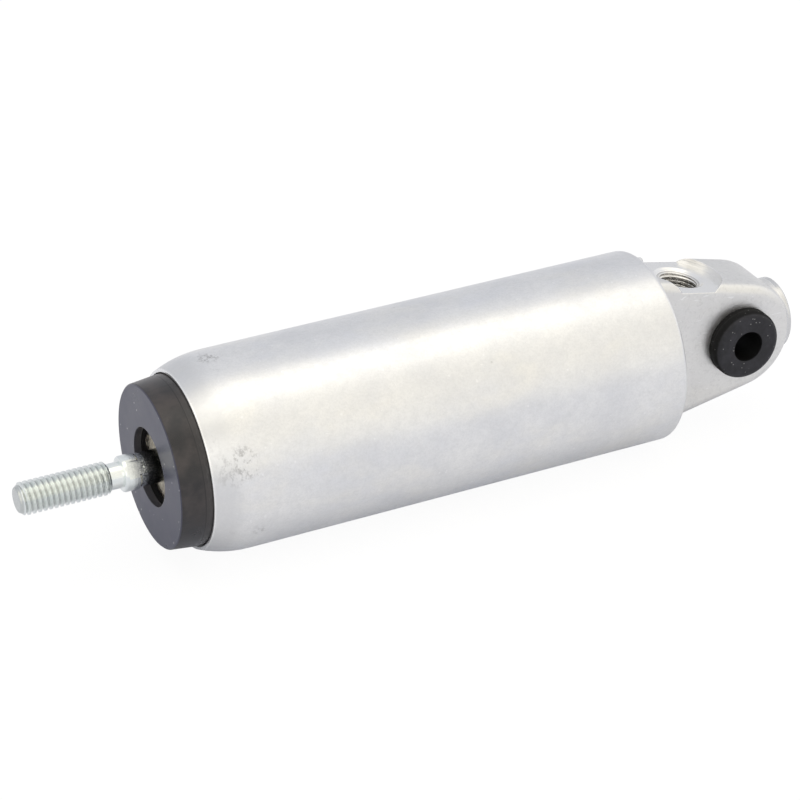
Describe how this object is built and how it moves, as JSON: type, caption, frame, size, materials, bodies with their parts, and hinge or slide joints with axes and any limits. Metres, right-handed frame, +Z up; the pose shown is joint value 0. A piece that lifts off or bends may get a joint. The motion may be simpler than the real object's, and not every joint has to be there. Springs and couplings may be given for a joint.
{
  "type": "pneumatic cylinder",
  "caption": "single-acting spring-return air cylinder with a rubber-bushed eye lug, a threaded air port and a swinging threaded rod in a wide-mouthed end cap",
  "frame": {"origin": "centre of the eye's pivot bore, on the pivot axis and midway between the bush's two faces", "axes": "+X runs along the cylinder towards the rod end, +Y along the pivot bore, +Z up, to the side with the air port"},
  "size_m": [0.1516, 0.036, 0.036],
  "materials": {
    "housing_aluminium": "matte die-cast and turned aluminium, fine blasted grain",
    "cap_plastic": "black satin glass-filled plastic",
    "black_rubber": "black moulded rubber",
    "cream_felt": "cream wool felt",
    "rod_zinc": "bright zinc-plated turned steel, rolled thread",
    "plated_steel": "zinc-plated steel",
    "spring_steel": "oiled spring steel wire",
    "piston_aluminium": "turned aluminium",
    "ring_plastic": "natural acetal plastic"
  },
  "bodies": {
    "housing": {"housing": "housing_aluminium", "pivot_bush": "black_rubber", "end_cap": "cap_plastic", "cap_o_ring": "black_rubber", "wiper_seal_washer": "black_rubber", "wiper_plate": "plated_steel", "spring_seat": "plated_steel", "stroke_sleeve": "plated_steel", "bump_stop": "black_rubber", "return_spring": "spring_steel"},
    "piston": {"piston": "piston_aluminium", "piston_cup_seal": "black_rubber", "cup_clamp_plate": "plated_steel", "cup_clamp_screw": "plated_steel", "piston_felt_ring": "cream_felt", "piston_wear_ring": "ring_plastic", "retainer_snap_ring": "spring_steel"},
    "ball_seat": {"ball_seat": "ring_plastic", "ball_retainer": "ring_plastic"},
    "piston_rod": {"piston_rod": "rod_zinc"},
    "wiper": {"rod_wiper_felt": "cream_felt"}
  },
  "joints": [
    {"name": "rod_stroke", "type": "slide", "parent": "housing", "child": "piston", "axis": [1, 0, 0], "range_m": [0, 0.035], "stiffness_N_per_m": 800, "springref_m": -0.045, "deforming": ["return_spring"]},
    {"name": "ball_turn", "type": "hinge", "parent": "piston", "child": "ball_seat", "pos_m": [0.0385, 0, 0], "axis": [1, 0, 0], "continuous": true},
    {"name": "rod_swing", "type": "hinge", "parent": "ball_seat", "child": "piston_rod", "pos_m": [0.0385, 0, 0], "axis": [0, 1, 0], "range_deg": [-2.5, 2.5]},
    {"name": "wiper_float", "type": "slide", "parent": "piston_rod", "child": "wiper", "axis": [1, 0, 0], "range_m": [-0.035, 0]}
  ],
  "couplings": [
    {"joint": "wiper_float", "follows": "rod_stroke", "ratio": -1}
  ]
}
